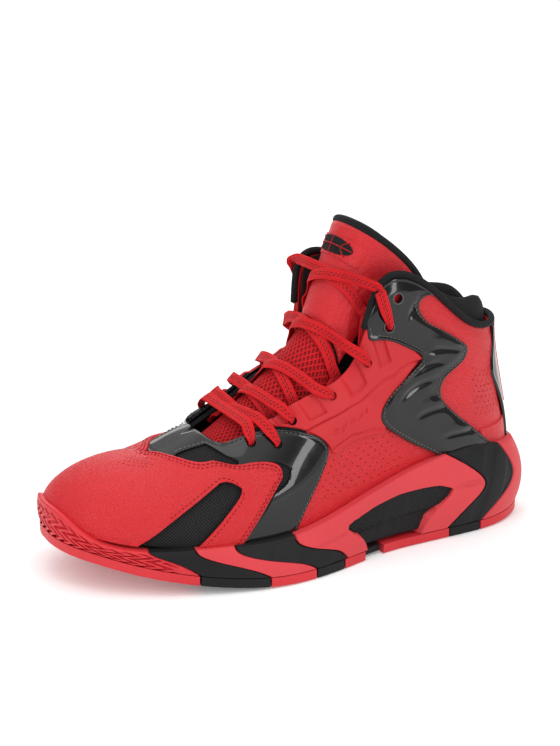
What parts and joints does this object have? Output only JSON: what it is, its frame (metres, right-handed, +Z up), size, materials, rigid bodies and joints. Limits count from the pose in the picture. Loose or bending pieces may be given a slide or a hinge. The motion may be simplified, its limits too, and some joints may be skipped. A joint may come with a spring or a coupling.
{
  "type": "high-top basketball shoe",
  "caption": "High-top basketball shoe: layered leather and patent upper with moulded cage, flat lace, padded tongue and collar on a blocked foam and rubber sole; tongue tilts, sockliner lifts.",
  "frame": {"origin": "on the ground under the middle of the shoe's box", "axes": "+Z up, +X to the outer (lateral) side of this left shoe, +Y to the heel, -Y to the toe"},
  "size_m": [0.1158, 0.304, 0.1939],
  "materials": {
    "aglet_1": "black",
    "aglet_2": "black",
    "ankle_strap_lateral": "black patent",
    "ankle_strap_medial": "black patent",
    "cage_lateral": "red moulded",
    "cage_medial": "red moulded",
    "collar_binding": "black textile",
    "collar_lining": "black textile",
    "eyelet_lateral_6": "gunmetal",
    "eyelet_lateral_7": "gunmetal",
    "eyelet_medial_6": "gunmetal",
    "eyelet_medial_7": "gunmetal",
    "heel_bumper": "coral foam",
    "heel_counter": "stiffener",
    "heel_cup": "red full-grain",
    "heel_strip": "black patent",
    "heel_tab": "red full-grain",
    "insole_board": "fibre board",
    "lace": "red flat weave with black flecks",
    "lace_keeper": "black textile",
    "midsole_arch_coral_lateral": "coral foam",
    "midsole_arch_coral_medial": "coral foam",
    "midsole_ball_black_lateral": "black",
    "midsole_ball_black_medial": "black",
    "midsole_chevron_black_lateral": "black",
    "midsole_chevron_black_medial": "black",
    "midsole_core": "coral foam",
    "midsole_joint_coral_lateral": "coral foam",
    "midsole_joint_coral_medial": "coral foam",
    "midsole_waist_black_lateral": "black",
    "midsole_waist_black_medial": "black",
    "outsole_ball_black": "black",
    "outsole_heel_back": "red",
    "outsole_heel_black": "black",
    "outsole_heel_front": "red",
    "outsole_joint_red": "red",
    "outsole_toe": "red",
    "outsole_waist_black": "black",
    "outsole_waist_tip": "red",
    "quarter_lateral": "red full-grain",
    "quarter_medial": "red full-grain",
    "shank_bridge": "black",
    "shank_insert_lateral": "black",
    "shank_insert_medial": "black",
    "sockliner": "black textile",
    "toe_bumper": "red, herringbone",
    "toe_cap": "red full-grain",
    "toe_puff": "stiffener",
    "tongue_binding": "black textile",
    "tongue_knit": "red knit",
    "tongue_leather": "red full-grain",
    "tongue_lining": "black textile",
    "vamp_lining": "black textile",
    "vamp_mesh": "black textile",
    "vamp_saddle": "black patent"
  },
  "bodies": {
    "shoe": {"aglet_1": "aglet_1", "aglet_2": "aglet_2", "ankle_strap_lateral": "ankle_strap_lateral", "ankle_strap_medial": "ankle_strap_medial", "cage_lateral": "cage_lateral", "cage_medial": "cage_medial", "collar_binding": "collar_binding", "collar_lining": "collar_lining", "eyelet_lateral_6": "eyelet_lateral_6", "eyelet_lateral_7": "eyelet_lateral_7", "eyelet_medial_6": "eyelet_medial_6", "eyelet_medial_7": "eyelet_medial_7", "heel_bumper": "heel_bumper", "heel_counter": "heel_counter", "heel_cup": "heel_cup", "heel_strip": "heel_strip", "heel_tab": "heel_tab", "insole_board": "insole_board", "lace": "lace", "midsole_arch_coral_lateral": "midsole_arch_coral_lateral", "midsole_arch_coral_medial": "midsole_arch_coral_medial", "midsole_ball_black_lateral": "midsole_ball_black_lateral", "midsole_ball_black_medial": "midsole_ball_black_medial", "midsole_chevron_black_lateral": "midsole_chevron_black_lateral", "midsole_chevron_black_medial": "midsole_chevron_black_medial", "midsole_core": "midsole_core", "midsole_joint_coral_lateral": "midsole_joint_coral_lateral", "midsole_joint_coral_medial": "midsole_joint_coral_medial", "midsole_waist_black_lateral": "midsole_waist_black_lateral", "midsole_waist_black_medial": "midsole_waist_black_medial", "outsole_ball_black": "outsole_ball_black", "outsole_heel_back": "outsole_heel_back", "outsole_heel_black": "outsole_heel_black", "outsole_heel_front": "outsole_heel_front", "outsole_joint_red": "outsole_joint_red", "outsole_toe": "outsole_toe", "outsole_waist_black": "outsole_waist_black", "outsole_waist_tip": "outsole_waist_tip", "quarter_lateral": "quarter_lateral", "quarter_medial": "quarter_medial", "shank_bridge": "shank_bridge", "shank_insert_lateral": "shank_insert_lateral", "shank_insert_medial": "shank_insert_medial", "toe_bumper": "toe_bumper", "toe_cap": "toe_cap", "toe_puff": "toe_puff", "vamp_lining": "vamp_lining", "vamp_mesh": "vamp_mesh", "vamp_saddle": "vamp_saddle"},
    "tongue": {"lace_keeper": "lace_keeper", "tongue_binding": "tongue_binding", "tongue_knit": "tongue_knit", "tongue_leather": "tongue_leather", "tongue_lining": "tongue_lining"},
    "sockliner": {"sockliner": "sockliner"}
  },
  "joints": [
    {"name": "tongue_tilt", "type": "hinge", "parent": "shoe", "child": "tongue", "pos_m": [-0.00148, -0.06034, 0.06922], "axis": [-1, 0, 0], "range_deg": [0, 3], "stiffness_Nm_per_rad": 0.6, "springref_deg": -8.59},
    {"name": "sockliner_lift", "type": "hinge", "parent": "shoe", "child": "sockliner", "pos_m": [-0.0145, -0.1365, 0.0323], "axis": [1, 0, 0], "range_deg": [0, 4]}
  ]
}
